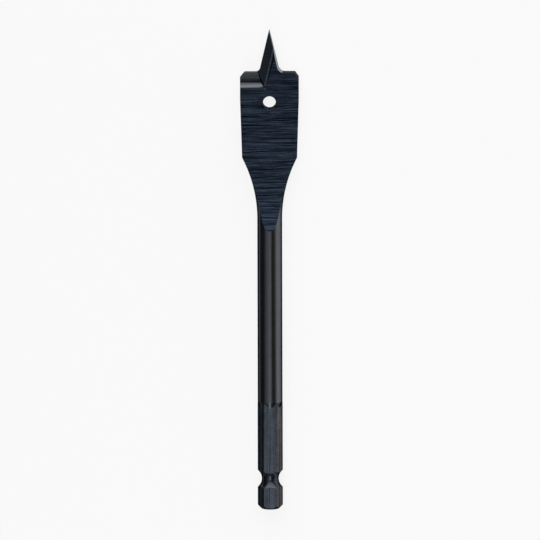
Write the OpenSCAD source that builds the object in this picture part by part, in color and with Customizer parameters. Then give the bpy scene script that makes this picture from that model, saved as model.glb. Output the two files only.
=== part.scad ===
// Spade drill bit: a hex-driven shank forged into a flat blade with two lips and a centre point.
// It is built upright, tip up and shank end at zero, and then laid down with its tip towards +Y,
// rolled as it comes to rest, on its shank and on the blade's edge at +X.

/* [Overall] */
// Length from the shank's end face to the tip of the point
overall_length = 141.7; // [125:0.1:220]

/* [Hex drive] */
// Hex size across its flats
hex_flats = 6.35; // [5.5:0.05:9]
// Length of the hex, up to the round shank
hex_length = 31.8; // [20:0.1:45]
// How far each hex corner is eased below its sharp edge
corner_ease = 0.02; // [0.01:0.01:0.2]
// Length of the slope from each hex flat out to the round shank
hex_runout = 1.6; // [0.8:0.1:4]
// Chamfer round the shank's end
end_chamfer = 1; // [0.3:0.05:1.5]
// Distance of the latch groove's middle from the shank's end
groove_position = 8.8; // [6:0.05:14]
// Diameter left at the bottom of the latch groove
groove_root_d = 4.9; // [3.5:0.05:5.5]
// Radius of the latch groove's hollow
groove_radius = 3.35; // [1.5:0.05:5]

/* [Shank and neck] */
// Diameter of the round shank
shank_d = 7.2; // [6.4:0.05:9]
// Angle of the neck's flare at the blade, from the axis
flare_angle = 24.6; // [15:0.1:40]
// Radius that bends the shank into the flare
neck_radius = 40; // [15:1:60]

/* [Blade] */
// Width across the blade's margins, the diameter it drills
blade_width = 17; // [14:0.1:32]
// Thickness between the blade's ground faces
blade_thickness = 2.8; // [2:0.05:3.6]
// Length from the lips down to the heel
blade_length = 25.3; // [18:0.1:45]
// Length of the margins, from the lips to where the back taper starts
margin_length = 7.7; // [4:0.1:14]
// Width across the heel, where the blade meets the neck
heel_width = 15.9; // [12:0.1:31]
// Width of the clipped corner at the outer end of each lip
corner_width = 1; // [0.3:0.05:2]
// Length of the clipped corner down each margin
corner_length = 1.25; // [0.3:0.05:3]
// Distance from the heel down to where the faces start to rise to the shank
face_runout_drop = 4.3; // [1:0.1:10]
// Wheel radius of the faces' rise to the shank
face_runout_radius = 67; // [30:1:120]

/* [Hole] */
// Diameter of the hole through the blade
hole_d = 3.75; // [2:0.05:6]
// Distance from the lips down to the hole's middle
hole_drop = 8.9; // [7:0.1:16]

/* [Point and lips] */
// Height of the point above the lips
point_height = 12.4; // [8:0.1:20]
// Width of the point at the lips, between its straight cutting flanks
point_width = 6.05; // [4:0.05:9]
// Fillet between the point and each lip
point_fillet = 2; // [0.3:0.05:2.5]
// Angle that each flank and clipped corner backs away behind its cutting edge
side_relief = 8; // [2:0.5:12]
// Angle that each lip falls away behind its cutting edge
lip_relief = 3; // [2:0.5:12]

/* [Lip gullet] */
// Length of the gullet down the face from the lip
gullet_reach = 4.86; // [3:0.02:7]
// Depth of the ground face at the lip, below the blade's face
gullet_depth = 0.35; // [0:0.01:0.7]
// Rake of the ground face under the lip
gullet_rake = 15; // [5:0.5:20]
// Wheel radius at the bottom of the gullet
gullet_radius = 1.9; // [1:0.05:4]
// Depth of the wheel's mark below the rake face
gullet_dip = 0.03; // [0.01:0.01:0.3]
// Slant of the gullet's inner end, from the axis
gullet_end_slant = 23.6; // [0:0.2:40]
// Lean of the gullet's inner end, from square to the face
gullet_end_lean = 33; // [0:1:50]

/* [Point grind] */
// Width of the grind across the point, from its leading flank
spur_reach = 3.2; // [2:0.05:4]
// Rake of the ground face beside the flank
spur_rake = 9; // [2:0.5:12]
// Wheel radius in the furrow beside that face
spur_radius = 1; // [0.4:0.05:2]
// Extra depth of the furrow below that face
spur_dip = 0.02; // [0.01:0.01:0.3]
// Angle that the grind deepens towards the tip
spur_thinning = 4; // [0:0.5:4.5]
// Length of the grind below the lip
spur_tail = 4; // [2:0.1:5]

/* [Hidden] */
$fn = 96;
// Finer steps for the widest wheel, which rises slowly
wheel_fn = 256;

// Overrun of the cutters past the surfaces they cut
over = 2;
// Depth that the neck's bend is sunk in the shank and the flare, so that they cross
lap = 0.005;

shank_r = shank_d / 2;
hex_corner_d = hex_flats / cos(30);
hex_corner_r = hex_corner_d / 2 - corner_ease;
groove_ring_r = groove_root_d / 2 + groove_radius;

lip_z = overall_length - point_height;
heel_z = lip_z - blade_length;
hole_z = lip_z - hole_drop;
face_runout_z = heel_z - face_runout_drop;
face_y = blade_thickness / 2;

// The flare's line meets the shank's at a corner, which the neck's radius rounds.
flare_corner_z = heel_z - (heel_width / 2 - shank_r) / tan(flare_angle);
neck_tangent = neck_radius * tan(flare_angle / 2);
neck_start_z = flare_corner_z - neck_tangent;
neck_rise = neck_radius * sin(flare_angle);
neck_top_r = shank_r + neck_radius * (1 - cos(flare_angle));
flare_rise = overall_length + over - flare_corner_z;
blank_r = shank_r + flare_rise * tan(flare_angle);

// The flanks back away from opposite faces, so they meet in a short slanted edge at the tip.
point_angle = atan((point_width - blade_thickness * tan(side_relief))
    / (2 * point_height + blade_thickness * tan(lip_relief) / cos(side_relief)));

// Lying free, the bit rolls on its round shank until a margin of the blade meets the surface.
rest_roll = asin(shank_r / norm([blade_width / 2, face_y])) - atan(blade_thickness / blade_width);

// Depth under the rake face's plane of the edge where the grind runs out, square to that plane
function runout_fall(depth, reach, rake) = reach * sin(rake) + depth * cos(rake);
// Length of the rake face, up to a wheel of this radius that runs out at this reach
function rake_length(depth, reach, rake, radius) =
    reach * cos(rake) - depth * sin(rake)
    - sqrt(2 * radius * runout_fall(depth, reach, rake) - pow(runout_fall(depth, reach, rake), 2));
// End of the rake face, and the wheel's middle, as reach along the blade's face and depth below it
function rake_foot(depth, reach, rake, radius) =
    [0, depth] + rake_length(depth, reach, rake, radius) * [cos(rake), sin(rake)];
function wheel_middle(foot, rake, radius, dip) = foot + (radius - dip) * [sin(rake), -cos(rake)];

// A point of the front outline, as x across and z from the lip, moved into the plane that the relief tilts
function relieved(p) =
    [p[0] * cos(side_relief), (p[1] + p[0] * sin(side_relief) * tan(lip_relief)) * cos(lip_relief)];

// Cutter for a ground hollow: a rake face that starts at a cutting edge, then the wheel's round exit
module grind(depth, reach, rake, radius, dip, length) {
    foot = rake_foot(depth, reach, rake, radius);
    middle = wheel_middle(foot, rake, radius, dip);
    exit_x = middle[0] + sqrt(pow(radius, 2) - pow(middle[1], 2));
    lead = [0, depth] - over * [cos(rake), sin(rake)];
    linear_extrude(length)
        polygon([lead, foot, middle, [exit_x, 0], [exit_x, -over], [lead[0], -over]]);
    translate([middle[0], middle[1], 0])
        cylinder(h = length, r = radius);
}

// Hex with its eased corners, end chamfer and latch groove
module hex_drive() {
    difference() {
        intersection() {
            cylinder(h = hex_length, d = hex_corner_d, $fn = 6);
            rotate_extrude()
                polygon([
                    [0, 0],
                    [hex_corner_r - end_chamfer, 0],
                    [hex_corner_r, end_chamfer],
                    [hex_corner_r, hex_length - hex_runout],
                    [shank_r, hex_length],
                    [0, hex_length]
                ]);
        }
        translate([0, 0, groove_position])
            rotate_extrude()
                translate([groove_ring_r, 0])
                    circle(r = groove_radius);
    }
}

// Round shank, with the cone that each hex flat runs out through
module shank() {
    rotate_extrude()
        polygon([
            [0, hex_length - 2 * hex_runout],
            [hex_flats - shank_r, hex_length - 2 * hex_runout],
            [shank_r, hex_length],
            [shank_r, flare_corner_z],
            [0, flare_corner_z]
        ]);
}

// Round blank of the neck and blade: the hollow bend out of the shank, and the flare that it leads into
module blade_blank() {
    translate([0, 0, neck_start_z])
        difference() {
            cylinder(h = neck_rise, r = neck_top_r + over);
            rotate_extrude()
                translate([shank_r - lap + neck_radius, 0])
                    circle(r = neck_radius);
        }
    translate([0, 0, flare_corner_z])
        cylinder(h = flare_rise, r1 = shank_r, r2 = blank_r);
}

// Cutter for the front face, with its long rise to the shank
module face_cutter() {
    translate([0, -face_y - face_runout_radius, face_runout_z])
        rotate([0, 90, 0])
            cylinder(h = 2 * blank_r + over, r = face_runout_radius, center = true, $fn = wheel_fn);
    translate([-blank_r - over, -face_y - blank_r, face_runout_z])
        cube([2 * (blank_r + over), blank_r, overall_length + 2 * over - face_runout_z]);
}

// Cutter for the front's left outline, from the tip to the clipped corner, which backs away behind that face
module outline_cutter() {
    half_point = point_width / 2;
    corner_x = -blade_width / 2;
    fillet_run = point_fillet * tan(45 - point_angle / 2);
    fillet_lip = [-half_point - fillet_run, 0];
    fillet_flank = [-half_point, 0] + fillet_run * [sin(point_angle), cos(point_angle)];
    past_tip = point_height + 2 * over;
    past_corner = [corner_x, -corner_length] - over * [1, corner_length / corner_width];
    outline = [
        [past_tip * tan(point_angle) - half_point, past_tip],
        fillet_flank,
        fillet_lip,
        [corner_x + corner_width, 0],
        past_corner,
        [-blank_r - over, past_corner[1]],
        [-blank_r - over, past_tip]
    ];
    fillet_middle = relieved(fillet_lip + [0, point_fillet]);
    translate([0, -face_y, lip_z])
        rotate([-lip_relief, 0, -side_relief])
            rotate([90, 0, 0])
                translate([0, 0, -blank_r]) {
                    linear_extrude(2 * blank_r)
                        polygon([for (p = outline) relieved(p)]);
                    translate([fillet_middle[0], fillet_middle[1], 0])
                        cylinder(h = 2 * blank_r, r = point_fillet);
                }
}

// Cutter for the left margin and the back taper below it, square to the faces
module margin_cutter() {
    margin_x = -blade_width / 2;
    heel_x = -heel_width / 2;
    taper = (heel_x - margin_x) / (blade_length - margin_length);
    past_heel = -blade_length - over;
    translate([0, blank_r, lip_z])
        rotate([90, 0, 0])
            linear_extrude(2 * blank_r)
                polygon([
                    [margin_x, point_height + over],
                    [margin_x, -margin_length],
                    [heel_x + over * taper, past_heel],
                    [-blank_r - over, past_heel],
                    [-blank_r - over, point_height + over]
                ]);
}

// Cutter for the gullet under the left lip, which stops at a slanted wall beside the point
module gullet_cutter() {
    half_point = point_width / 2;
    outer_x = -blade_width / 2 - over;
    translate([0, -face_y, lip_z])
        difference() {
            translate([outer_x, 0, 0])
                rotate([0, 90, 0])
                    grind(gullet_depth, gullet_reach, gullet_rake, gullet_radius, gullet_dip, -outer_x);
            translate([-half_point, 0, 0])
                rotate([0, -gullet_end_slant, 0])
                    rotate([0, 0, gullet_end_lean])
                        translate([0, -blade_width, -blade_width])
                            cube(2 * blade_width);
        }
}

// Cutter for the grind beside the point's left flank, deepening towards the tip
module spur_cutter() {
    translate([-point_width / 2, -face_y, lip_z])
        rotate([0, point_angle, 0])
            rotate([-spur_thinning, 0, 0])
                translate([0, 0, -spur_tail])
                    grind(0, spur_reach, spur_rake, spur_radius, spur_dip, point_height + spur_tail + over);
}

// Shank and flat blade, ground alike on both sides
module shank_and_blade() {
    difference() {
        union() {
            shank();
            blade_blank();
        }
        for (side = [0, 180])
            rotate([0, 0, side]) {
                face_cutter();
                outline_cutter();
                margin_cutter();
                gullet_cutter();
                spur_cutter();
            }
        translate([0, 0, hole_z])
            rotate([90, 0, 0])
                cylinder(h = blade_thickness + over, d = hole_d, center = true);
    }
}

module spade_bit() {
    color("#3a3d42")
        translate([0, -overall_length / 2, shank_r])
            rotate([0, rest_roll, 0])
                rotate([-90, 0, 0]) {
                    hex_drive();
                    shank_and_blade();
                }
}

spade_bit();
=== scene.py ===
import math

import bpy
from mathutils import Matrix, Vector


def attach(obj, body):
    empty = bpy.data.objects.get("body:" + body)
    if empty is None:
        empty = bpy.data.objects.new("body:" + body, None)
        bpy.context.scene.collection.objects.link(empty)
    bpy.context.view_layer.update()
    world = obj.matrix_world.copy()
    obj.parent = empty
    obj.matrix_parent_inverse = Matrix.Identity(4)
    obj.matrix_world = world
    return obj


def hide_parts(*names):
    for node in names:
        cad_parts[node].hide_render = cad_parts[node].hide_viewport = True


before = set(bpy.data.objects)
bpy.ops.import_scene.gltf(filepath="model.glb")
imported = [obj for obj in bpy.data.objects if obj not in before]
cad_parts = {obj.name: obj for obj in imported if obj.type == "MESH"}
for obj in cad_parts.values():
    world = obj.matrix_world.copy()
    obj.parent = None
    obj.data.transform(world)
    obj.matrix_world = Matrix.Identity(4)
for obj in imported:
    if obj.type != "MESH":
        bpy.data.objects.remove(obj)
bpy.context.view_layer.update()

MM = 0.001

# The bit's sizes in millimetres, in its own axes: x across the blade, y along it and z out of its front
LENGTH = 141.7
BLADE_WIDTH = 17.0
FACE = 1.4
SHANK_R = 3.6
GROOVE_HALF = 2.6
HEX_FLAT_HALF = 1.8
HEX_RUNOUT = 1.7
LIP_CORNER = 1.3
RAKE_LENGTH = 2.7
TONGUE_FADE = 8.5

# Places along the bit's y, from the middle of its length
END = -LENGTH / 2
CHAMFER_TOP = END + 1.0
GROOVE = END + 8.8
HEX_TOP = END + 31.8
LIP = LENGTH / 2 - 12.4
FACE_END = LIP - 29.65

# How the bit lies: rolled on its shank until the blade's edge meets the floor
ROLL = math.asin(SHANK_R / math.hypot(BLADE_WIDTH / 2, FACE)) - math.atan(2 * FACE / BLADE_WIDTH)
BIT = Matrix.Translation((0, 0, SHANK_R * MM)) @ Matrix.Rotation(ROLL, 4, "Y")

# The photograph's view: its width in pixels, pixels to a millimetre, two angles and the point it looks at
PHOTO_WIDTH = 540
PHOTO_SCALE = 3.45
TILT = math.radians(12.0)
LEAN = math.radians(0.135)
AIM = Vector((0.05, -0.18, 0)) * MM
CAMERA_DISTANCE = 4.0
SENSOR = 36.0

# What the finishes share: bare steel, no tint, how far edges wear to bare steel, and their softening in mm
BARE_STEEL = (0.24, 0.25, 0.26)
PLAIN = (1, 1, 1)
EDGE_WEAR = 0.4
SOFT_EDGE = 0.12

# Marks in the finishes, as features to a millimetre along x, y and z, or all round
GRIT = 3.0
STEEL_PATCH = 0.35
GROUND_PATCH = 0.3
BROAD_BANDS = (0.02, 1.6, 0.05)
FINE_BANDS = (0.025, 2.8, 0.05)
SCRATCH_AREAS = (0.10, 0.45, 0.1)


def math_node(tree, operation, a, b):
    n = tree.nodes.new("ShaderNodeMath")
    n.operation = operation
    for i, v in enumerate((a, b)):
        if isinstance(v, (int, float)):
            n.inputs[i].default_value = v
        else:
            tree.links.new(v, n.inputs[i])
    return n.outputs[0]


def vector_node(tree, operation, a, b):
    n = tree.nodes.new("ShaderNodeVectorMath")
    n.operation = operation
    for i, v in enumerate((a, b)):
        if isinstance(v, tuple):
            n.inputs[i].default_value = v
        else:
            tree.links.new(v, n.inputs[i])
    return n


def ramp(tree, value, low, high, out_low=0.0, out_high=1.0, smooth=False):
    n = tree.nodes.new("ShaderNodeMapRange")
    n.interpolation_type = "SMOOTHSTEP" if smooth else "LINEAR"
    tree.links.new(value, n.inputs["Value"])
    n.inputs["From Min"].default_value = low
    n.inputs["From Max"].default_value = high
    n.inputs["To Min"].default_value = out_low
    n.inputs["To Max"].default_value = out_high
    return n.outputs["Result"]


def mix(tree, factor, a, b):
    """A blend of two colours; the node's colour sockets are its inputs 6 and 7 and its output 2."""
    n = tree.nodes.new("ShaderNodeMix")
    n.data_type = "RGBA"
    tree.links.new(factor, n.inputs["Factor"])
    for socket, v in ((n.inputs[6], a), (n.inputs[7], b)):
        if isinstance(v, tuple):
            socket.default_value = (*v, 1)
        else:
            tree.links.new(v, socket)
    return n.outputs[2]


def weighted(tree, a, a_share, b, b_share):
    """Two values added up by their shares."""
    a_part = math_node(tree, "MULTIPLY", a, a_share)
    b_part = math_node(tree, "MULTIPLY", b, b_share)
    return math_node(tree, "ADD", a_part, b_part)


def noise(tree, vector, scale=1.0, detail=3.0, rough=0.6):
    n = tree.nodes.new("ShaderNodeTexNoise")
    tree.links.new(vector, n.inputs["Vector"])
    n.inputs["Scale"].default_value = scale
    n.inputs["Detail"].default_value = detail
    n.inputs["Roughness"].default_value = rough
    return n.outputs["Fac"]


def own_axes(tree):
    """A point's place in the bit's own axes, in millimetres."""
    coords = tree.nodes.new("ShaderNodeTexCoord").outputs["Object"]
    turn = tree.nodes.new("ShaderNodeMapping")
    tree.links.new(coords, turn.inputs["Vector"])
    turn.inputs["Location"].default_value = tuple(c / MM for c in BIT.inverted().translation)
    turn.inputs["Rotation"].default_value = (0, -ROLL, 0)
    turn.inputs["Scale"].default_value = (1 / MM, 1 / MM, 1 / MM)
    return turn.outputs["Vector"]


def along(tree, place, axis):
    """One of a place's three coordinates."""
    parts = tree.nodes.new("ShaderNodeSeparateXYZ")
    tree.links.new(place, parts.inputs[0])
    return parts.outputs[axis]


def slanted(tree, place, degrees, scale):
    """The place turned a little in the blade's plane and then stretched."""
    turn = tree.nodes.new("ShaderNodeMapping")
    tree.links.new(place, turn.inputs["Vector"])
    turn.inputs["Rotation"].default_value = (0, 0, math.radians(degrees))
    return vector_node(tree, "MULTIPLY", turn.outputs["Vector"], scale).outputs[0]


def scratches(tree, place, slant, length, pitch, gate, low, high):
    """Thin wavy lines where a stretched noise crosses its middle value, which come and go with `gate`."""
    width = 0.10
    waves = noise(tree, slanted(tree, place, slant, (1 / length, 1 / pitch, 0.05)), detail=2.0, rough=0.5)
    off = math_node(tree, "ABSOLUTE", math_node(tree, "SUBTRACT", waves, 0.5), 0.0)
    line = ramp(tree, off, 0.0, width, 1.0, 0.0, smooth=True)
    return math_node(tree, "MULTIPLY", line, ramp(tree, gate, low, high))


def fresh(name):
    mat = bpy.data.materials.new(name)
    mat.use_nodes = True
    return mat, mat.node_tree


def dress(tree, colour, roughness, height, depth, wear, bare, edge, grit, tint):
    """Joins colour, roughness and relief to the shader, with softened and rubbed edges."""
    shader = tree.nodes["Principled BSDF"]
    flat = tree.nodes.new("ShaderNodeNewGeometry").outputs["Normal"]
    bevel = tree.nodes.new("ShaderNodeBevel")
    bevel.samples = 8
    bevel.inputs["Radius"].default_value = edge * MM
    turned = vector_node(tree, "DOT_PRODUCT", flat, bevel.outputs["Normal"]).outputs["Value"]
    near_edge = ramp(tree, turned, 0.995, 0.9, 0.0, wear)
    patchy = ramp(tree, grit, 0.35, 0.65, 0.3, 1.0)
    rubbed = math_node(tree, "MULTIPLY", near_edge, patchy)
    tree.links.new(mix(tree, rubbed, colour, bare), shader.inputs["Base Color"])
    shader.inputs["Metallic"].default_value = 1.0
    shader.inputs["Specular Tint"].default_value = (tint, tint, tint, 1)
    tree.links.new(roughness, shader.inputs["Roughness"])
    bump = tree.nodes.new("ShaderNodeBump")
    bump.inputs["Strength"].default_value = 1.0
    bump.inputs["Distance"].default_value = depth * MM
    tree.links.new(height, bump.inputs["Height"])
    tree.links.new(bevel.outputs["Normal"], bump.inputs["Normal"])
    tree.links.new(bump.outputs["Normal"], shader.inputs["Normal"])


def steel(name, dark, light, rough, swing, grain, depth,
          wear=EDGE_WEAR, bare=BARE_STEEL, edge=SOFT_EDGE, tint=0.0, contrast=1.0, painted_shading_casts=()):
    """Smooth dark steel with faint drawn lines, which `grain` stretches.

    Each cast paints light and shade, changing its tone across x: from here, to here, from this tint, to
    this tint.
    """
    mat, tree = fresh(name)
    place = own_axes(tree)
    lines = noise(tree, vector_node(tree, "MULTIPLY", place, grain).outputs[0], detail=4.0)
    patch = noise(tree, place, scale=STEEL_PATCH, detail=4.0)
    grit = noise(tree, place, scale=GRIT)
    tone = weighted(tree, lines, 0.8, patch, 0.2)
    half = 0.16 / contrast
    colour = mix(tree, ramp(tree, tone, 0.5 - half, 0.5 + half), dark, light)
    # Painted light and shade: each cast darkens or lightens the colour across x.
    for start, end, left, right in painted_shading_casts:
        across = ramp(tree, along(tree, place, "X"), start, end)
        colour = vector_node(tree, "MULTIPLY", colour, mix(tree, across, left, right)).outputs[0]
    uneven = weighted(tree, grit, 0.4, patch, 0.6)
    roughness = ramp(tree, uneven, 0.3, 0.7, rough - swing, rough + swing)
    height = math_node(tree, "ADD", lines, math_node(tree, "MULTIPLY", grit, 0.05))
    dress(tree, colour, roughness, height, depth, wear, bare, edge, grit, tint)
    return mat


def ground(name, dark, light, rough, swing, contrast, depth, tint=0.6, rise=None):
    """A ground face: fine wavy scratches across the blade over cloudy dark steel.

    `rise` changes its tone along y: from here, to here, from this share, to this share.
    """
    mat, tree = fresh(name)
    place = own_axes(tree)
    patch = noise(tree, place, scale=GROUND_PATCH)
    grit = noise(tree, place, scale=GRIT)
    broad = noise(tree, slanted(tree, place, 1.0, BROAD_BANDS), rough=0.7)
    fine = noise(tree, slanted(tree, place, -2.5, FINE_BANDS), detail=1.0, rough=0.5)
    bands = weighted(tree, ramp(tree, broad, 0.40, 0.60), 0.45, ramp(tree, fine, 0.35, 0.65), 0.4)
    gate = noise(tree, slanted(tree, place, 0.0, SCRATCH_AREAS), detail=2.0, rough=0.5)
    falling = scratches(tree, place, slant=-5.0, length=60.0, pitch=0.7, gate=gate, low=0.45, high=0.60)
    rising = scratches(tree, place, slant=2.5, length=50.0, pitch=0.55, gate=gate, low=0.55, high=0.40)
    bright = math_node(tree, "MULTIPLY", math_node(tree, "MAXIMUM", falling, rising), 0.5)
    ground_level, mean_tone = 0.16, 0.4
    lines = math_node(tree, "SUBTRACT", math_node(tree, "ADD", bands, bright), ground_level)
    tone = math_node(tree, "ADD", math_node(tree, "MULTIPLY", lines, contrast), (1 - contrast) * mean_tone)
    tone = math_node(tree, "MULTIPLY", tone, ramp(tree, patch, 0.3, 0.7, 0.88, 1.12))
    # A tone along y; on the rake faces it is painted shade, darker deeper in the gullets.
    if rise:
        tone = math_node(tree, "MULTIPLY", tone, ramp(tree, along(tree, place, "Y"), *rise))
    colour = mix(tree, tone, dark, light)
    roughness = ramp(tree, lines, 0.0, 1.0, rough + swing, rough - swing)
    dress(tree, colour, roughness, lines, depth, EDGE_WEAR, BARE_STEEL, SOFT_EDGE, grit, tint)
    return mat


def shank_finish():
    """Turned and blackened, with painted shade at -x and painted light at +x, so slowly lighter towards
    +x.
    """
    return steel("shank", (0.078, 0.087, 0.103), (0.106, 0.117, 0.137), rough=0.24, swing=0.04,
                 grain=(1.2, 0.03, 1.2), depth=0.003,
                 painted_shading_casts=[(-SHANK_R, SHANK_R, (0.8, 0.8, 0.78), (1.28, 1.2, 1.14))])


def hex_finish():
    """Drawn lengthwise and blackened; painted shade darkens its flats at -x, and painted warm light makes
    them lighter and warmer at +x.
    """
    inner, outer = HEX_FLAT_HALF - 0.3, HEX_FLAT_HALF + 0.3
    return steel("hex", (0.036, 0.043, 0.054), (0.086, 0.101, 0.126), rough=0.27, swing=0.05,
                 grain=(1.6, 0.02, 1.6), depth=0.012, wear=0.5, contrast=1.6,
                 painted_shading_casts=[(-outer, -inner, (0.70, 0.68, 0.61), (0.90, 0.90, 0.91)),
                        (inner, outer, PLAIN, (2.2, 1.85, 1.54))])


def groove_finish():
    """Turned across, in the latch groove, at the end and where the hex runs out."""
    return steel("groove", (0.036, 0.041, 0.049), (0.075, 0.083, 0.098), rough=0.24, swing=0.05,
                 grain=(0.2, 2.0, 0.2), depth=0.006)


def lip_finish():
    """The tops of the lips and the clipped corners."""
    return steel("lip", (0.05, 0.055, 0.06), (0.08, 0.085, 0.09), rough=0.30, swing=0.05,
                 grain=(0.4, 2.0, 2.0), depth=0.01, wear=0.3, tint=0.35)


def flank_finish():
    """Bright ground steel beside the point's cutting edges."""
    return steel("edge", (0.31, 0.33, 0.36), (0.49, 0.52, 0.57), rough=0.40, swing=0.08,
                 grain=(0.4, 0.4, 2.0), depth=0.01, wear=0.5, bare=(0.4, 0.4, 0.4), edge=0.05, tint=0.5)


def face_finish():
    """The blade's flat faces and their tongues, lighter towards the shank."""
    return ground("face", (0.0005, 0.002, 0.0045), (0.037, 0.052, 0.082), rough=0.30, swing=0.06,
                  contrast=1.0, depth=0.04, rise=(FACE_END - TONGUE_FADE, LIP, 1.3, 0.92))


def hollow_finish():
    """The grinds beside the point and the inner ends of the gullets."""
    return ground("hollow", (0.030, 0.039, 0.053), (0.082, 0.102, 0.134), rough=0.26, swing=0.05,
                  contrast=0.7, depth=0.01, tint=0.1)


def rake_finish():
    """The gullets' faces under the lips, with painted shade making them darker deeper in the gullet and
    lighter towards the edge.
    """
    return ground("rake", (0.003, 0.004, 0.005), (0.082, 0.095, 0.112), rough=0.26, swing=0.05,
                  contrast=0.25, depth=0.006, rise=(LIP - RAKE_LENGTH, LIP + 0.2, 0.10, 0.78))


def exit_finish():
    """The gullets' round bottoms, where the wheel came out, lighter than the rake faces as painted light
    on the faces turned toward the key lamp.
    """
    return ground("exit", (0.050, 0.056, 0.066), (0.130, 0.144, 0.168), rough=0.26, swing=0.05,
                  contrast=0.5, depth=0.006)


FINISHES = {
    "shank": shank_finish,
    "hex": hex_finish,
    "groove": groove_finish,
    "face": face_finish,
    "hollow": hollow_finish,
    "rake": rake_finish,
    "exit": exit_finish,
    "lip": lip_finish,
    "edge": flank_finish,
}


def zone(centre, normal):
    """Which finish a face of the bit has, from its place and direction in the bit's own axes."""
    side = 1 if normal.z >= 0 else -1
    x, y, z = side * centre.x, centre.y, side * centre.z
    in_groove = abs(y - GROOVE) < GROOVE_HALF and math.hypot(x, z) < SHANK_R and abs(normal.y) > 0.01
    if y < CHAMFER_TOP or in_groove:
        return "groove"
    if y < HEX_TOP + HEX_RUNOUT:
        runs_out = y > HEX_TOP - HEX_RUNOUT and normal.y < -0.1
        return "groove" if runs_out else "hex"
    if abs(normal.z) < 0.25:
        if y < LIP - LIP_CORNER:
            return "shank"
        beside_point = abs(normal.x) > 0.3 and y > LIP + 0.02
        return "edge" if beside_point else "lip"
    if y > FACE_END:
        if z > FACE - 0.004:
            return "face"
        in_gullet = abs(normal.x) < 0.02 and y < LIP + 0.4
        if in_gullet:
            # Down-turned gullet faces take the rake finish with painted shade, and up-turned ones the exit
            # finish with painted light.
            return "rake" if normal.y < 0 else "exit"
        return "hollow"
    on_tongue = abs(normal.x) < 0.05 and abs(normal.z) > 0.9 and normal.y > 0.003
    return "face" if on_tongue else "shank"


def bit():
    """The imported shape, with each face in its own finish."""
    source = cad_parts["spade_bit"]
    mesh = source.data.copy()
    mesh.name = "bit"
    piece = bpy.data.objects.new("bit", mesh)
    piece.matrix_world = source.matrix_world
    bpy.context.scene.collection.objects.link(piece)
    mesh.materials.clear()
    for finish in FINISHES.values():
        mesh.materials.append(finish())
    order = list(FINISHES)
    inverse = BIT.inverted() @ source.matrix_world
    turn = inverse.to_3x3()
    for face in mesh.polygons:
        centre = inverse @ face.center / MM
        face.material_index = order.index(zone(centre, (turn @ face.normal).normalized()))
    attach(piece, "root")
    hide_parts("spade_bit")


def camera():
    """A long lens that looks down on the blade at the photograph's angle."""
    data = bpy.data.cameras.new("camera")
    data.sensor_width = SENSOR
    data.lens = SENSOR * CAMERA_DISTANCE / (PHOTO_WIDTH / PHOTO_SCALE * MM)
    data.clip_end = 50.0
    cam = bpy.data.objects.new("camera", data)
    bpy.context.scene.collection.objects.link(cam)
    turn = BIT.to_3x3() @ Matrix.Rotation(-TILT, 3, "X") @ Matrix.Rotation(-LEAN, 3, "Z")
    place = BIT @ AIM + turn @ Vector((0, 0, CAMERA_DISTANCE))
    cam.matrix_world = Matrix.Translation(place) @ turn.to_4x4()
    bpy.context.scene.camera = cam


def floor():
    """A pale floor, nearly white to the camera and in reflections, that still takes the bit's shadow."""
    glow_share = 0.85
    bpy.ops.mesh.primitive_plane_add(size=30)
    plane = bpy.context.object
    plane.name = "floor"
    mat, tree = fresh("floor")
    shader = tree.nodes["Principled BSDF"]
    shader.inputs["Base Color"].default_value = (0.95, 0.95, 0.95, 1)
    shader.inputs["Roughness"].default_value = 0.9
    glow = tree.nodes.new("ShaderNodeEmission")
    glow.inputs["Color"].default_value = (1, 1, 1, 1)
    glow.inputs["Strength"].default_value = 1.0
    path = tree.nodes.new("ShaderNodeLightPath")
    seen = math_node(tree, "MAXIMUM", path.outputs["Is Camera Ray"], path.outputs["Is Glossy Ray"])
    seen = math_node(tree, "MAXIMUM", seen, path.outputs["Is Transmission Ray"])
    both = tree.nodes.new("ShaderNodeMixShader")
    tree.links.new(math_node(tree, "MULTIPLY", seen, glow_share), both.inputs[0])
    tree.links.new(shader.outputs[0], both.inputs[1])
    tree.links.new(glow.outputs[0], both.inputs[2])
    tree.links.new(both.outputs[0], tree.nodes["Material Output"].inputs["Surface"])
    plane.data.materials.append(mat)


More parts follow.
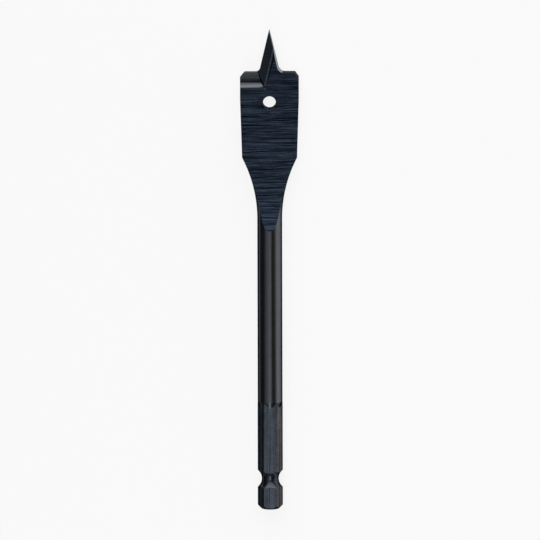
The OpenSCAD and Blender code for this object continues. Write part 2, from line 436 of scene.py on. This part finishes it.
def lamp(name, axes, centre, facing, size, peak, spread, colour=PLAIN):
    """A soft box with a grid, placed in `axes`, in metres.

    Its light is at `peak` straight along `facing` and fades to none at half of `spread`, in degrees.
    """
    half = math.radians(spread) / 2
    gain = math.tan(half) / (math.tan(half) - half)
    data = bpy.data.lights.new(name, "AREA")
    data.shape = "RECTANGLE"
    data.size, data.size_y = size
    data.spread = 2 * half
    data.energy = peak / gain * math.pi * size[0] * size[1]
    data.color = colour
    light = bpy.data.objects.new(name, data)
    bpy.context.scene.collection.objects.link(light)
    back = -Vector(facing).normalized()
    side = Vector((0, 1, 0)).cross(back)
    side = side.normalized() if side.length > 0.1 else Vector((1, 0, 0))
    turn = Matrix((side, back.cross(side), back)).transposed()
    light.matrix_world = axes @ Matrix.Translation(centre) @ turn.to_4x4()
    light.visible_camera = False


def lights():
    """Soft boxes over, behind and beside the bit, in its own axes or the room's, in a dim room."""
    studio = bpy.data.worlds.new("studio")
    studio.use_nodes = True
    backdrop = studio.node_tree.nodes["Background"]
    backdrop.inputs["Color"].default_value = (1, 1, 1, 1)
    backdrop.inputs["Strength"].default_value = 0.06
    bpy.context.scene.world = studio
    room = Matrix.Identity(4)
    lamp("overhead", BIT, centre=(-0.47, -0.30, 0.8), facing=(0, math.sin(TILT), -math.cos(TILT)),
         size=(1.34, 1.18), peak=0.64, spread=108)
    lamp("key", BIT, centre=(0.1, 0.65, 0.94), facing=(0, -0.94, -0.34),
         size=(1.7, 1.9), peak=2.4, spread=136)
    lamp("strip", BIT, centre=(-0.02, -0.30, 0.4), facing=(0, 0.6, -0.8),
         size=(0.085, 0.23), peak=3.6, spread=150)
    lamp("low", room, centre=(1.2, -0.25, 0.36), facing=(-1, 0, 0),
         size=(0.70, 1.5), peak=1.2, spread=66, colour=(1, 0.93, 0.85))
    lamp("rim", room, centre=(1.2, -0.25, 0.05), facing=(-1, 0, 0),
         size=(0.10, 1.5), peak=4.0, spread=60)
    lamp("back", room, centre=(0, -1.2, 0.58), facing=(0, 0.9, -0.43),
         size=(1.5, 0.5), peak=0.35, spread=120)


bit()
camera()
floor()
lights()
bpy.context.scene.view_settings.view_transform = "Standard"
